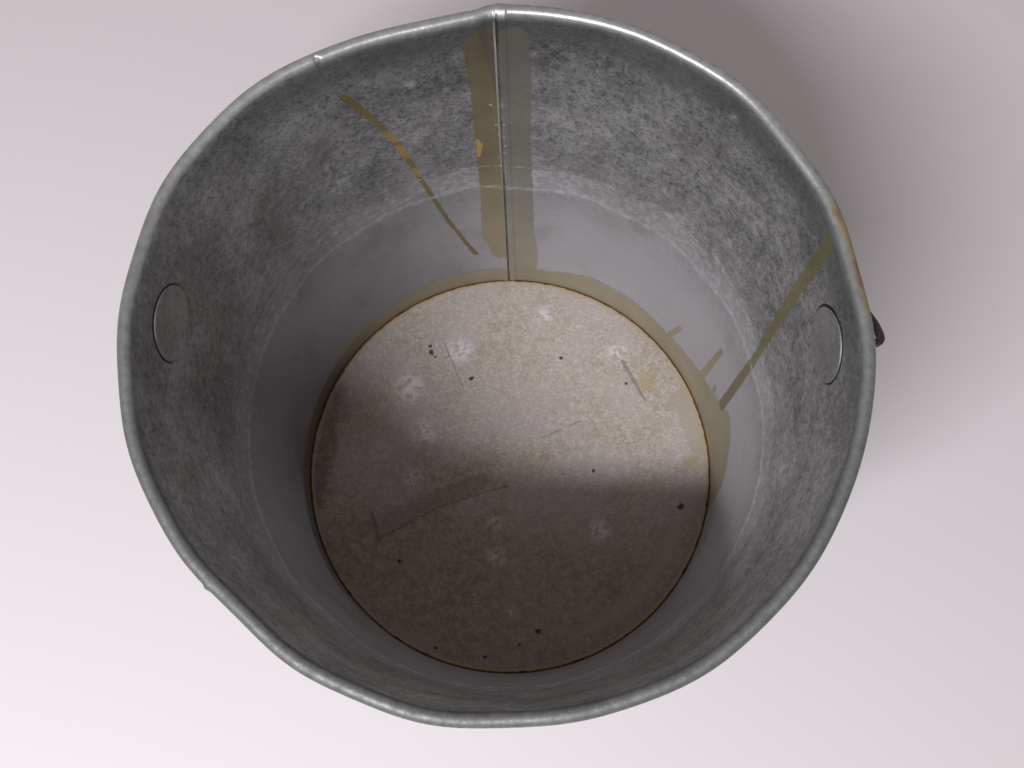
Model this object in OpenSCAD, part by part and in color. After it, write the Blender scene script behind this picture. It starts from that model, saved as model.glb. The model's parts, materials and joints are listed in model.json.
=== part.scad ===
// Galvanized sheet-steel bucket with a swinging wire bail.
// Frame: +Z up, origin at the centre of the foot, ears along X, side seam at the back (+Y).

/* [Body] */
// Diameter over the rolled rim
rim_d = 300; // [260:1:340]
// Height from the foot to the top of the rim
height = 277; // [220:1:320]
// Inside diameter at the bottom disc
base_in_d = 244; // [200:1:250]
// Thickness of the galvanized sheet
sheet_t = 0.8; // [0.6:0.05:1.2]

/* [Rim] */
// Diameter of the wire that the rim is rolled around
rim_wire_d = 4.4; // [3:0.1:6]
// Angle of the wire that the rolled sheet covers
curl_angle = 300; // [240:5:320]

/* [Foot] */
// Height of the bottom disc above the floor
foot_h = 10; // [6:0.5:16]
// Height of the hem folded up inside the foot
hem_h = 6; // [3:0.5:8]
// Play between pieces that are folded together
fold_play = 0.05; // [0.02:0.01:0.15]

/* [Pressed band] */
// Height of the band's lower edge
band_low = 130; // [60:1:140]
// Height of the band's upper edge
band_high = 148; // [146:1:200]
// How far the band is pressed outwards
band_out = 0.5; // [0.2:0.1:1]
// Height over which each edge of the band slopes
band_ramp = 2; // [1:0.5:4]

/* [Side seam] */
// Width of the folded lock seam
seam_w = 7; // [5:0.5:10]
// How far the seam stands out of the inner face
seam_proud = 1.6; // [1:0.1:2.4]
// Width of the groove beside the seam's fold
groove_w = 1.2; // [0.8:0.1:2]
// Angle of the seam from straight behind, as it came out of the folding
seam_turn = 2.5; // [-6:0.5:6]

/* [Ears] */
// Drop of the bail's pivot below the top of the rim
ear_drop = 37; // [30:1:45]
// Distance of the pivot behind the bucket's own axis
ear_back = 12; // [0:1:16]
// Diameter of the ear's flange and of its backing plate
ear_d = 33; // [28:1:36]
// Diameter at the foot of the ear's dome
dome_d = 24; // [20:1:26]
// Diameter of the flat top of the dome
dome_top_d = 17; // [12:1:18]
// Height of the dome over its flange's back
dome_h = 8; // [6:0.5:10]
// Thickness of the ear's sheet
ear_t = 1; // [0.8:0.1:1.5]
// Radial play of the bail in the ear's eye
eye_play = 0.3; // [0.2:0.05:0.6]

/* [Bail] */
// Diameter of the bail's wire
bail_wire_d = 3.8; // [3:0.1:5]
// Radius of the bail's arc
bail_r = 166; // [164:1:175]
// Distance from the pivot to the middle of the arc
bail_depth = 200; // [185:1:220]
// Radius of the bend at each end
bail_bend_r = 13; // [8:1:16]
// Distance of the turned-in tip from the middle
tip_x = 145; // [144.5:0.1:147]
// Angle below the horizontal at which the bail hangs
bail_rest = 52; // [46:1:52]

/* [Colours] */
// Worn zinc on the sheet
zinc_colour = "#7C7C7E"; // ["#7C7C7E", "#8E9092", "#6A6C6E"]
// Dirty zinc on the bottom
bottom_colour = "#7A7264"; // ["#7A7264", "#6E685C", "#88806F"]
// Rust-brown wire of the bail
bail_colour = "#3A302F"; // ["#3A302F", "#4A3A34", "#2C2524"]

/* [Hidden] */
$fn = 96;

bead_r = rim_wire_d / 2 + sheet_t;
bead_mid_r = rim_d / 2 - bead_r;
bead_z = height - bead_r;
base_r = base_in_d / 2;
floor_z = foot_h + sheet_t;
top_in_r = rim_d / 2 - 2 * bead_r;
slope = (top_in_r - base_r) / (bead_z - floor_z);
slope_angle = atan(slope);
flange_t = sheet_t;
hem_out_r = base_r - flange_t - 2 * fold_play;
hem_in_r = hem_out_r - sheet_t;
pivot_z = height - ear_drop;
ear_in_r = wall_in_r(pivot_z);
ear_turn = asin(ear_back / (ear_in_r + sheet_t));
plate_sag = ear_in_r - sqrt(ear_in_r * ear_in_r - ear_d * ear_d / 4);
plate_gap = plate_sag + 0.1;
flange_gap = 0.1;
seam_len = (bead_z - floor_z) / cos(slope_angle);
bail_mid = bail_depth - bail_r;
bend_x = sqrt(pow(bail_r - bail_bend_r, 2) - pow(bail_bend_r - bail_mid, 2));
arc_start = atan2(bail_bend_r - bail_mid, bend_x);
joint_extra = 0.04;

// Inside radius of the plain cone at a height.
function wall_in_r(z) = base_r + (z - floor_z) * slope;

// Face of the wall, from the floor up: skin is 0 inside and the sheet's thickness outside.
function wall_face(skin) = [
    [wall_in_r(floor_z) + skin, floor_z],
    [wall_in_r(band_low - band_ramp) + skin, band_low - band_ramp],
    [wall_in_r(band_low) + band_out + skin, band_low],
    [wall_in_r(band_high) + band_out + skin, band_high],
    [wall_in_r(band_high + band_ramp) + skin, band_high + band_ramp],
    [wall_in_r(bead_z) + skin, bead_z]
];

function backwards(points) = [for (i = [len(points) - 1 : -1 : 0]) points[i]];

// Half section of the cone.
module cone_section() {
    polygon(concat(wall_face(0), backwards(wall_face(sheet_t))));
}

// Half section of the sheet rolled over the rim wire, open towards the wall from below.
module curl_section() {
    open = 360 - curl_angle;
    reach = 2 * bead_r;
    translate([bead_mid_r, bead_z]) difference() {
        circle(r = bead_r);
        circle(d = rim_wire_d);
        polygon([[0, 0],
                 [-reach, 0],
                 [-reach, -reach * tan(open / 2)],
                 [reach * cos(180 + open), reach * sin(180 + open)]]);
    }
}

// Half section of the foot: outer skirt, folded edge and the hem inside the bottom's flange.
module foot_section() {
    translate([base_r, 0]) square([sheet_t, floor_z]);
    translate([hem_in_r, 0]) square([base_r + sheet_t - hem_in_r, sheet_t]);
    translate([hem_in_r, 0]) square([sheet_t, hem_h]);
}

// Fold of the side seam: a flat ridge along the inner face, with a groove on its right.
module seam_ridge() {
    root = sheet_t / 2;
    rotate([0, 0, seam_turn]) translate([0, base_r, floor_z]) rotate([-slope_angle, 0, 0])
        difference() {
            translate([-seam_w / 2, -seam_proud, 0]) cube([seam_w, seam_proud + root, seam_len]);
            translate([0, -seam_proud - 1, -1]) cube([groove_w, seam_proud + 1 - root, seam_len + 2]);
        }
}

module wall() {
    color(zinc_colour) {
        rotate_extrude($fn = 180) {
            cone_section();
            curl_section();
            foot_section();
        }
        seam_ridge();
    }
}

module bottom() {
    flange_r = base_r - fold_play;
    color(bottom_colour) rotate_extrude($fn = 180) {
        translate([0, foot_h]) square([flange_r, sheet_t]);
        translate([flange_r - flange_t, sheet_t + fold_play])
            square([flange_t, foot_h - sheet_t - fold_play + sheet_t / 2]);
    }
}

module rim_wire() {
    color(zinc_colour) rotate_extrude($fn = 180)
        translate([bead_mid_r, bead_z]) circle(d = rim_wire_d - 2 * fold_play, $fn = 48);
}

// Puts a piece made along +Z on the wall at the pivot's height, +Z pointing straight out of the
// wall. side is 1 on the right and -1 on the left.
module on_wall(side) {
    turn = side > 0 ? ear_turn : 180 - ear_turn;
    rotate([0, 0, turn]) translate([ear_in_r, 0, pivot_z]) rotate([0, 90 + slope_angle, 0]) children();
}

// Half section of the ear: a flat flange and a hollow dome, both of one sheet.
module ear_section() {
    wall_x = ear_t * (dome_h - ear_t) / sqrt(pow(dome_h - ear_t, 2) + pow((dome_d - dome_top_d) / 2, 2));
    polygon([
        [ear_d / 2, 0],
        [ear_d / 2, ear_t],
        [dome_d / 2, ear_t],
        [dome_top_d / 2, dome_h],
        [0, dome_h],
        [0, dome_h - ear_t],
        [dome_top_d / 2 - wall_x, dome_h - ear_t],
        [dome_d / 2 - wall_x, 0]
    ]);
}

module ear(side) {
    color(zinc_colour) difference() {
        on_wall(side) translate([0, 0, sheet_t + flange_gap]) rotate_extrude() ear_section();
        // the eye, straight along the pivot
        translate([side * tip_x, ear_back, pivot_z]) rotate([0, side * 90, 0])
            cylinder(h = dome_h + 2, d = bail_wire_d + 2 * eye_play, $fn = 48);
    }
}

// Flat disc inside the wall, touching it at its two sides and standing off it at the top.
module ear_plate(side) {
    color(zinc_colour) on_wall(side) translate([0, 0, -plate_gap - sheet_t])
        cylinder(h = sheet_t, d = ear_d);
}

module wire_arc(r, from, to) {
    rotate([0, 0, from]) rotate_extrude(angle = to - from)
        translate([r, 0]) circle(d = bail_wire_d, $fn = 48);
}

// Ball at the joint of two stretches of wire, a hair thicker than the wire, so that they are one.
module joint_ball() {
    sphere(d = bail_wire_d + joint_extra, $fn = 48);
}

// Turned-in tip and bend at the right-hand end of the bail.
module bail_end() {
    translate([tip_x, 0, 0]) rotate([0, 90, 0]) cylinder(h = bend_x - tip_x, d = bail_wire_d, $fn = 48);
    translate([bend_x, 0, 0]) joint_ball();
    translate([bend_x, bail_bend_r, 0]) wire_arc(bail_bend_r, -90, arc_start);
    translate([bail_r * cos(arc_start), bail_mid + bail_r * sin(arc_start), 0]) joint_ball();
}

module bail() {
    color(bail_colour) translate([0, ear_back, pivot_z]) rotate([-bail_rest, 0, 0]) {
        bail_end();
        mirror([1, 0, 0]) bail_end();
        translate([0, bail_mid, 0]) wire_arc(bail_r, arc_start, 180 - arc_start);
    }
}

wall();
bottom();
rim_wire();
ear(-1);  // ear_left
ear(1);  // ear_right
ear_plate(-1);  // ear_plate_left
ear_plate(1);  // ear_plate_right
bail();
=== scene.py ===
# %% [markdown]
# # An old galvanized bucket
#
# The real thing is a bucket of thin sheet steel. Its wall is one sheet, bent into a cone and
# hooked together along a folded side seam. The top is rolled outwards over a wire, the bottom
# is a separate flanged disc, and two pressed ears carry a bail of rusty wire. The finished
# bucket was dipped in molten zinc, which crystallised into a mottled skin, and decades of use
# have dulled it, dented the rim and left streaks of old varnish and a crust of dirt inside.
#
# The construction model is the fixed frame. Its true round forms stay hidden, and each cell
# below makes the worn version of one piece in the same place.

import functools
import json
import math
from types import SimpleNamespace

import bmesh
import bpy
import numpy as np
from mathutils import Matrix, Vector


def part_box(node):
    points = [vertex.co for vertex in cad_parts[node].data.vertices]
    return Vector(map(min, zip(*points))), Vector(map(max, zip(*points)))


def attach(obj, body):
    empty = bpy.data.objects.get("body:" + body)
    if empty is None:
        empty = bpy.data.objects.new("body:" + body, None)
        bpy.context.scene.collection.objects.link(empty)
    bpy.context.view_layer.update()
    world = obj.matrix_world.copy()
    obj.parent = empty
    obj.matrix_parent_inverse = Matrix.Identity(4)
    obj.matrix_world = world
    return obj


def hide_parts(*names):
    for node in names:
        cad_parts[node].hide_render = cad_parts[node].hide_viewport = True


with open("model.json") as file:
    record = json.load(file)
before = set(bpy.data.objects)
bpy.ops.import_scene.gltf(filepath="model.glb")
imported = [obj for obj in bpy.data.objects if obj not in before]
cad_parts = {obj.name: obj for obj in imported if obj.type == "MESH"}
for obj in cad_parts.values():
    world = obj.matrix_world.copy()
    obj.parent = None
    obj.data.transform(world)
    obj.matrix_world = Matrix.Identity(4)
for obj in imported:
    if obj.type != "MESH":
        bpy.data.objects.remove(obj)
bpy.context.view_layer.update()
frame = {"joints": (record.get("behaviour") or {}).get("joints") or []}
MM = 0.001

# %% [markdown]
# ## The driving sizes
#
# Every size is in millimetres and is read from the construction model where it can be, so the
# worn pieces follow it if it changes. Only what a box can't tell is written here as a number.

# %% Sizes
SHEET = 0.8
FOLD_PLAY = 0.05

wall_low, wall_high = (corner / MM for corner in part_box("wall"))
bottom_low, bottom_high = (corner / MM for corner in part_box("bottom"))
wire_low, wire_high = (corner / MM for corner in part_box("rim_wire"))
PIVOT = Vector(frame["joints"][0]["pos_m"]) / MM

HEIGHT = wall_high.z
RIM_R = (wall_high.x - wall_low.x) / 2
FLOOR_Z = bottom_high.z
BASE_R = (bottom_high.x - bottom_low.x) / 2 + FOLD_PLAY
BEAD_Z = (wire_low.z + wire_high.z) / 2
BEAD_R = HEIGHT - BEAD_Z
BEAD_MID_R = RIM_R - BEAD_R
TOP_IN_R = RIM_R - 2 * BEAD_R
SLOPE = (TOP_IN_R - BASE_R) / (BEAD_Z - FLOOR_Z)
SEAM_AZ = 92.5
BAND_LOW, BAND_HIGH, BAND_RAMP, BAND_OUT = 130, 148, 2, 0.5


def wall_in_r(z):
    """Inside radius of the plain cone at height z."""
    return BASE_R + (z - FLOOR_Z) * SLOPE


slope_degrees = math.degrees(math.atan(SLOPE))
print(f"rim {2 * RIM_R:.0f} across, {HEIGHT:.0f} high, wall slopes {slope_degrees:.1f} deg")

# %% [markdown]
# ## The camera
#
# The bucket is seen steeply from above, as by somebody who stands over it: the lens looks
# down into it from the front, with a slight tilt of the head. The camera is a place, a
# direction and a roll.

# %% Camera
def into_scene(name, data):
    """A new object of some data, in the scene."""
    thing = bpy.data.objects.new(name, data)
    bpy.context.scene.collection.objects.link(thing)
    return thing


CAMERA_AT = Vector((20.5, -144.9, 729.5)) * MM
CAMERA_AIM = Vector((-0.6, 53.1, 10.8)) * MM
CAMERA_ROLL = -3.96
CAMERA_LENS = 42.2

camera = into_scene("camera", bpy.data.cameras.new("camera"))
camera.data.lens = CAMERA_LENS
camera.data.sensor_width = 36
camera.data.clip_start = 0.01
aim = (CAMERA_AIM - CAMERA_AT).to_track_quat("-Z", "Y").to_matrix().to_4x4()
roll = Matrix.Rotation(math.radians(CAMERA_ROLL), 4, "Z")
camera.matrix_world = Matrix.Translation(CAMERA_AT) @ aim @ roll
bpy.context.scene.camera = camera
print("camera", [round(c, 3) for c in camera.location])

# %% [markdown]
# ## Meshes from outlines
#
# Most of the bucket was spun, rolled or bent, so most pieces start as an outline that is
# carried round an axis. One helper makes the mesh from a grid of points. The grid is closed
# round the axis, and closed along the outline too where the outline is a loop. Where it isn't,
# its two ends lie on the axis, and each becomes one pole.


# %% Mesh helpers
def grid_mesh(name, points, loop):
    """A mesh from points[turn][place], closed round the turns. Faces of a loop close along the
    outline too; otherwise the first and last places are poles."""
    turns, places = points.shape[:2]
    index = np.arange(turns * places).reshape(turns, places)
    after = np.roll(index, -1, axis=0)
    steps = places if loop else places - 1
    quads = []
    for place in range(steps):
        beside = (place + 1) % places
        quads.append(np.stack([index[:, place], index[:, beside], after[:, beside], after[:, place]], 1))
    mesh = bpy.data.meshes.new(name)
    mesh.from_pydata((points.reshape(-1, 3) * MM).tolist(), [], np.concatenate(quads).tolist())
    piece = into_scene(name, mesh)
    tidy_shell(piece)
    return piece


def tidy_shell(piece):
    """Merges doubled points, turns the faces outwards and shades them smoothly."""
    shell = bmesh.new()
    shell.from_mesh(piece.data)
    bmesh.ops.remove_doubles(shell, verts=shell.verts, dist=1e-7)
    bmesh.ops.dissolve_degenerate(shell, edges=shell.edges, dist=1e-8)
    bmesh.ops.recalc_face_normals(shell, faces=shell.faces)
    shell.to_mesh(piece.data)
    shell.free()
    piece.data.polygons.foreach_set("use_smooth", [True] * len(piece.data.polygons))
    open_edges = count_open_edges(piece.data)
    print(f"{piece.name}: {len(piece.data.polygons)} faces, {open_edges} open edges")


def count_open_edges(mesh):
    """How many edges don't have exactly two faces."""
    uses = np.zeros(len(mesh.edges), int)
    loops = np.zeros(len(mesh.loops), int)
    mesh.loops.foreach_get("edge_index", loops)
    np.add.at(uses, loops, 1)
    return int((uses != 2).sum())


def bell(angle, centre, width):
    """A soft bump in azimuth: 1 at its centre, and width is its standard deviation, in degrees."""
    away = (angle - centre + 180) % 360 - 180
    return np.exp(-0.5 * (away / width) ** 2)


def ramp(value, start, end):
    """0 before start, 1 after end, and smooth between."""
    share = np.clip((value - start) / (end - start), 0, 1)
    return share * share * (3 - 2 * share)


# %% [markdown]
# ## How the wall is battered
#
# A bucket that has been dropped and stacked isn't round any more. The damage is written as a
# shift of the sheet along its radius. Slow swells make the rim oval and fade out towards the
# stiff bottom. A stretch of rim left of the seam is knocked in, and it ends in a sharp crease.
# Low random waves stand for the hammered unevenness of thin sheet. The ears shift with the
# wall, so the same function places them.

# %% Damage
SWELLS = [(154, 20, 3.9), (190, 14, 0.8), (228, 17, -2.5), (302, 18, 2.1), (5, 13, -1.2), (52, 14, 1.2)]
KNOCK_AZ, KNOCK_IN, KNOCK_DEPTH = 107, 4.9, 48
KNOCK_WIDTHS = (9, 12)
CREASE_AZ, CREASE_IN = 124.2, 1.5
DRIP_AZ, DRIP_OUT = 224.6, 0.7
SWELL_FADE = 1.6
RISE, RISE_FROM = 0.5, 200

waves = np.random.default_rng(7)
WAVE_COUNT = 26
wave_turns = waves.integers(3, 19, WAVE_COUNT)
wave_rise = waves.uniform(-0.05, 0.05, WAVE_COUNT)
wave_phase = waves.uniform(0, 2 * math.pi, WAVE_COUNT)
WAVE_SIZE = 0.11


def hammered(azimuth, height):
    """Low waves all over the sheet, in mm."""
    total = np.zeros(np.broadcast(azimuth, height).shape)
    for turns, rise, phase in zip(wave_turns, wave_rise, wave_phase):
        total += np.cos(np.radians(azimuth) * turns + height * rise + phase)
    return total * WAVE_SIZE


def wall_shift(azimuth, height):
    """How far the sheet has moved out along its radius, in mm."""
    up = np.clip((height - FLOOR_Z) / (BEAD_Z - FLOOR_Z), 0, 1.05)
    swell = sum(size * bell(azimuth, centre, width) for centre, width, size in SWELLS)
    width = np.where(azimuth < KNOCK_AZ, *KNOCK_WIDTHS)
    knock = -KNOCK_IN * bell(azimuth, KNOCK_AZ, width) * ramp(azimuth, SEAM_AZ + 0.2, SEAM_AZ + 4)
    knock = knock * np.exp(-(((BEAD_Z - height) / KNOCK_DEPTH) ** 2))
    return swell * up**SWELL_FADE + knock + hammered(azimuth, height) * ramp(up, 0, 0.25)


def rim_rise(azimuth, height):
    """How far the top of the wall waves up and down, in mm."""
    return RISE * np.cos(np.radians(azimuth) * 3 + 1) * ramp(height, RISE_FROM, BEAD_Z)


print("shift of the rim at the dent, mm:", round(float(wall_shift(np.array(KNOCK_AZ), BEAD_Z)), 2))

# %% [markdown]
# ## The wall
#
# The wall is made as one closed loop of sheet: up the inner face, over the wire, round the
# curl, down the outer face and through the fold of the foot. The loop is carried round the
# bucket, with close columns at the side seam, whose fold is part of the same surface. A point
# attribute marks the inner face, so that the finish can tell inside from outside.

# %% The wall's outline
CURL_END = -120
HEM_IN_R = BASE_R - 2 * SHEET - 2 * FOLD_PLAY
HEM_H = 6


def band(height):
    """How far the pressed band pushes the sheet out at a height."""
    return BAND_OUT * ramp(height, BAND_LOW - BAND_RAMP, BAND_LOW) * (
        1 - ramp(height, BAND_HIGH, BAND_HIGH + BAND_RAMP)
    )


def wall_outline():
    """(radius, height, inside) along the loop of sheet, in mm."""
    outline = []
    heights = np.unique(np.concatenate([
        np.linspace(FLOOR_Z, BEAD_Z, 56),
        np.linspace(BAND_LOW - BAND_RAMP, BAND_LOW, 4),
        np.linspace(BAND_HIGH, BAND_HIGH + BAND_RAMP, 4),
    ]))
    for z in heights[:-1]:
        outline.append((wall_in_r(z) + band(z), z, 1))
    for turn in np.radians(np.linspace(180, CURL_END, 22)):
        outline.append((BEAD_MID_R + BEAD_R * math.cos(turn), BEAD_Z + BEAD_R * math.sin(turn), 0.5))
    for turn in np.radians(np.linspace(CURL_END, 172, 12)):
        inner = BEAD_R - SHEET
        outline.append((BEAD_MID_R + inner * math.cos(turn), BEAD_Z + inner * math.sin(turn), 0))
    for z in np.linspace(BEAD_Z - 2 * BEAD_R, FLOOR_Z, 30):
        outline.append((wall_in_r(z) + band(z) + SHEET, z, 0))
    skirt_r = BASE_R + SHEET
    flange_gap_r = BASE_R - SHEET - 2 * FOLD_PLAY
    outline += [
        (skirt_r, 5, 0), (skirt_r, 1.0, 0), (skirt_r - 0.25, 0.3, 0), (skirt_r - 0.8, 0, 0),
        (HEM_IN_R + 0.8, 0, 0), (HEM_IN_R + 0.25, 0.3, 0), (HEM_IN_R, 1.0, 0),
        (HEM_IN_R, HEM_H - 0.3, 0), (HEM_IN_R + SHEET / 2, HEM_H, 0), (flange_gap_r, HEM_H - 0.3, 0),
        (flange_gap_r, SHEET, 0), (BASE_R, SHEET, 0), (BASE_R, HEM_H, 1),
    ]
    return np.array(outline)


# %% The side seam's fold
SEAM_FINE = 0.28
SEAM_REACH = 9
COLUMN = 1.7


def wall_azimuths():
    """Azimuths of the columns: close together at the seam, and even elsewhere."""
    degree = math.radians(1) * TOP_IN_R
    reach, fine = SEAM_REACH / degree, SEAM_FINE / degree
    crease = 3 / degree
    near_seam = np.arange(SEAM_AZ - reach, SEAM_AZ + reach, fine)
    near_crease = np.arange(CREASE_AZ - crease, CREASE_AZ + crease, 0.5 / degree)
    rest_gap = COLUMN / degree
    rest = np.arange(0, 360, rest_gap)
    for centre, half in ((SEAM_AZ, reach), (CREASE_AZ, crease)):
        rest = rest[np.abs(rest - centre) > half + rest_gap / 2]
    return np.sort(np.concatenate([near_seam, near_crease, rest]))


def seam_relief(across):
    """How far the seam's fold stands in from the wall: across is mm to the left of its middle.
    It's a sharp fold on a low step, a wide lap beside them and a groove between."""
    fold = 0.95 * ramp(across, 0.15, 0.6) * (1 - ramp(across, 0.9, 1.6))
    step = 0.45 * ramp(across, 0.4, 1.0) * (1 - ramp(across, 2.6, 4.2))
    lap = 0.5 * ramp(across, -4.9, -3.6) * (1 - ramp(across, -1.0, -0.4))
    groove = -0.15 * ramp(across, -0.8, -0.4) * (1 - ramp(across, 0, 0.4))
    return np.maximum(fold, step) + lap + groove


def seam_outside(across):
    """How far the flattened fold stands out from the outer face."""
    return 0.7 * ramp(across, -4.9, -4.1) * (1 - ramp(across, 1.2, 2.0))


# %% Build the wall
def make_wall():
    """The battered wall as one closed shell."""
    outline = wall_outline()
    azimuth = wall_azimuths()[:, None]
    radius, height, inside = (column[None, :] for column in outline.T)
    in_bead = np.hypot(radius - BEAD_MID_R, height - BEAD_Z) < BEAD_R + 0.01
    across = np.radians(azimuth - SEAM_AZ) * radius
    moved = radius + wall_shift(azimuth, height)
    inner_half = (inside > 0) & (radius < BEAD_MID_R)
    below_curl = 1 - ramp(height, BEAD_Z + 0.2 * BEAD_R, BEAD_Z + 0.8 * BEAD_R)
    relief = seam_relief(across) * inner_half * below_curl
    below_rim = ramp(height, FLOOR_Z, FLOOR_Z + 8) * (1 - ramp(height, BEAD_Z - 9, BEAD_Z - 5))
    moved = moved - relief + seam_outside(across) * (inside == 0) * (height > SHEET) * below_rim
    # the rolled rim: its lap at the seam is thicker, and the crease pinches it
    from_mid = radius - BEAD_MID_R
    above_mid = height - BEAD_Z
    lap = 0.10 * ramp(across, -4.6, -4.1) * (1 - ramp(across, 0.3, 1.0)) - 0.05 * ramp(across, 0.3, 1.0) * (
        1 - ramp(across, 5, 25))
    pinch = CREASE_IN / BEAD_R * bell(azimuth, CREASE_AZ, 0.28) * ramp(-from_mid, -1, 2)
    drip = DRIP_OUT / BEAD_R * bell(azimuth, DRIP_AZ, 0.35) * ramp(from_mid, 0, BEAD_R)
    swell = (lap - pinch + drip) * in_bead
    moved = moved + from_mid * swell
    raised = height + above_mid * swell + rim_rise(azimuth, height)
    turn = np.radians(azimuth)
    points = np.stack([moved * np.cos(turn), moved * np.sin(turn), raised + 0 * moved], 2)
    piece = grid_mesh("wall_worn", points, loop=True)
    return piece, np.broadcast_to(inside, moved.shape)


wall, wall_inside = make_wall()
marks = wall.data.attributes.new("inside", "FLOAT", "POINT")
marks.data.foreach_set("value", wall_inside.astype(np.float32).ravel())
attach(wall, "bucket")
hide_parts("wall")


# %% The wire in the rim
def make_rim_wire():
    """The wire that the top is rolled over. It bends with the rim."""
    wire_r = (wire_high.z - wire_low.z) / 2
    section = np.linspace(0, 2 * math.pi, 16, endpoint=False)[None, :]
    azimuth = np.linspace(0, 360, 420, endpoint=False)[:, None]
    radius = BEAD_MID_R + wire_r * np.cos(section) + wall_shift(azimuth, BEAD_Z)
    height = BEAD_Z + wire_r * np.sin(section) + rim_rise(azimuth, BEAD_Z)
    turn = np.radians(azimuth)
    points = np.stack([radius * np.cos(turn), radius * np.sin(turn), height], 2)
    return grid_mesh("rim_wire_worn", points, loop=True)


rim_wire = make_rim_wire()
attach(rim_wire, "bucket")
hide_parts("rim_wire")

# %% [markdown]
# ## The bottom
#
# The bottom is a pressed disc with a flange turned down inside the fold of the foot. Its
# rounded edge leaves a crevice all round, where dirt and rust collect. Weight and knocks have
# left it slightly dished and wavy.

# %% Build the bottom
BOTTOM_CORNER = 1.0
DISH = 0.8


def make_bottom():
    """Disc, rounded edge and flange, as one closed shell with a pole on each side."""
    out_r = BASE_R - FOLD_PLAY
    corner_r = out_r - BOTTOM_CORNER
    top = [(r, FLOOR_Z) for r in np.linspace(0, corner_r, 46)]
    edge = [(corner_r + BOTTOM_CORNER * math.sin(a), FLOOR_Z - BOTTOM_CORNER * (1 - math.cos(a)))
            for a in np.radians([20, 40, 60, 80, 90])]
    skirt = [(out_r, 5), (out_r, 1.2), (out_r - SHEET / 2, 0.9), (out_r - SHEET, 1.2), (out_r - SHEET, 5)]
    inner = BOTTOM_CORNER - SHEET
    under = [(corner_r + inner * math.sin(a), FLOOR_Z - SHEET - inner * (1 - math.cos(a)))
             for a in np.radians([90, 45, 0])]
    below = [(r, FLOOR_Z - SHEET) for r in np.linspace(corner_r, 0, 24)[1:]]
    outline = np.array(top + edge + skirt + under + below)
    azimuth = np.linspace(0, 360, 320, endpoint=False)[:, None]
    radius, height = outline[:, 0][None, :], outline[:, 1][None, :]
    turn = np.radians(azimuth)
    x, y = radius * np.cos(turn), radius * np.sin(turn)
    inwards = 1 - ramp(radius, out_r - 14, out_r - 1.5)
    wavy = 0.35 * np.cos(x * 0.055 + 1) * np.cos(y * 0.041 + 2) + 0.2 * np.cos(x * 0.11 - y * 0.09)
    raised = height + (wavy - DISH * (1 - (radius / out_r) ** 2)) * inwards
    points = np.stack([x, y, raised], 2)
    return grid_mesh("bottom_worn", points, loop=False)


bottom = make_bottom()
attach(bottom, "bucket")
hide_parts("bottom")

# %% [markdown]
# ## The ears
#
# Each ear is a pressed dome outside and a disc inside. The dome is turned on the ear's own axis,
# which points straight out of the wall. The disc is pressed against the curved wall, so it
# follows every wave of the battered sheet, and shade is painted on the wall in the crevice round it.

# %% Ear sizes and place
EAR_D = 33
EAR_T = 1.0
DOME_D, DOME_TOP_D, DOME_H = 24, 17, 8
EYE_R = 2.2
EAR_GAP = 0.1
EAR_WALL_R = wall_in_r(PIVOT.z)
EAR_TURN = math.degrees(math.asin(PIVOT.y / (EAR_WALL_R + SHEET)))


def ear_place(side):
    """Where an ear's own axes are, in mm: +Z points out of the wall. side is 1 right, -1 left."""
    azimuth = EAR_TURN if side > 0 else 180 - EAR_TURN
    shift = float(wall_shift(np.array(azimuth), PIVOT.z))
    lean = math.radians(90) + math.atan(SLOPE)
    return (Matrix.Rotation(math.radians(azimuth), 4, "Z")
            @ Matrix.Translation((EAR_WALL_R + shift, 0, PIVOT.z))
            @ Matrix.Rotation(lean, 4, "Y"))


def lathe(name, outline, place, turns=96):
    """An outline of (radius, height) in mm, turned on the +Z axis of a place."""
    turn = np.linspace(0, 2 * math.pi, turns, endpoint=False)[:, None]
    radius, height = np.array(outline).T
    local = np.stack([radius * np.cos(turn), radius * np.sin(turn), height + 0 * turn], 2)
    matrix = np.array(place)
    return grid_mesh(name, local @ matrix[:3, :3].T + matrix[:3, 3], loop=False)


def rounded(corners, radius=0.3, steps=4):
    """An outline whose inner corners are rounded off. The first and last points stay."""
    outline = [corners[0]]
    for before, here, after in zip(corners, corners[1:], corners[2:]):
        before, here, after = Vector(before), Vector(here), Vector(after)
        cut = min(radius, (before - here).length / 2.2, (after - here).length / 2.2)
        start = here + (before - here).normalized() * cut
        end = here + (after - here).normalized() * cut
        for step in range(steps + 1):
            t = step / steps
            outline.append(tuple((1 - t) ** 2 * start + 2 * t * (1 - t) * here + t**2 * end))
    return outline + [corners[-1]]


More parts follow.
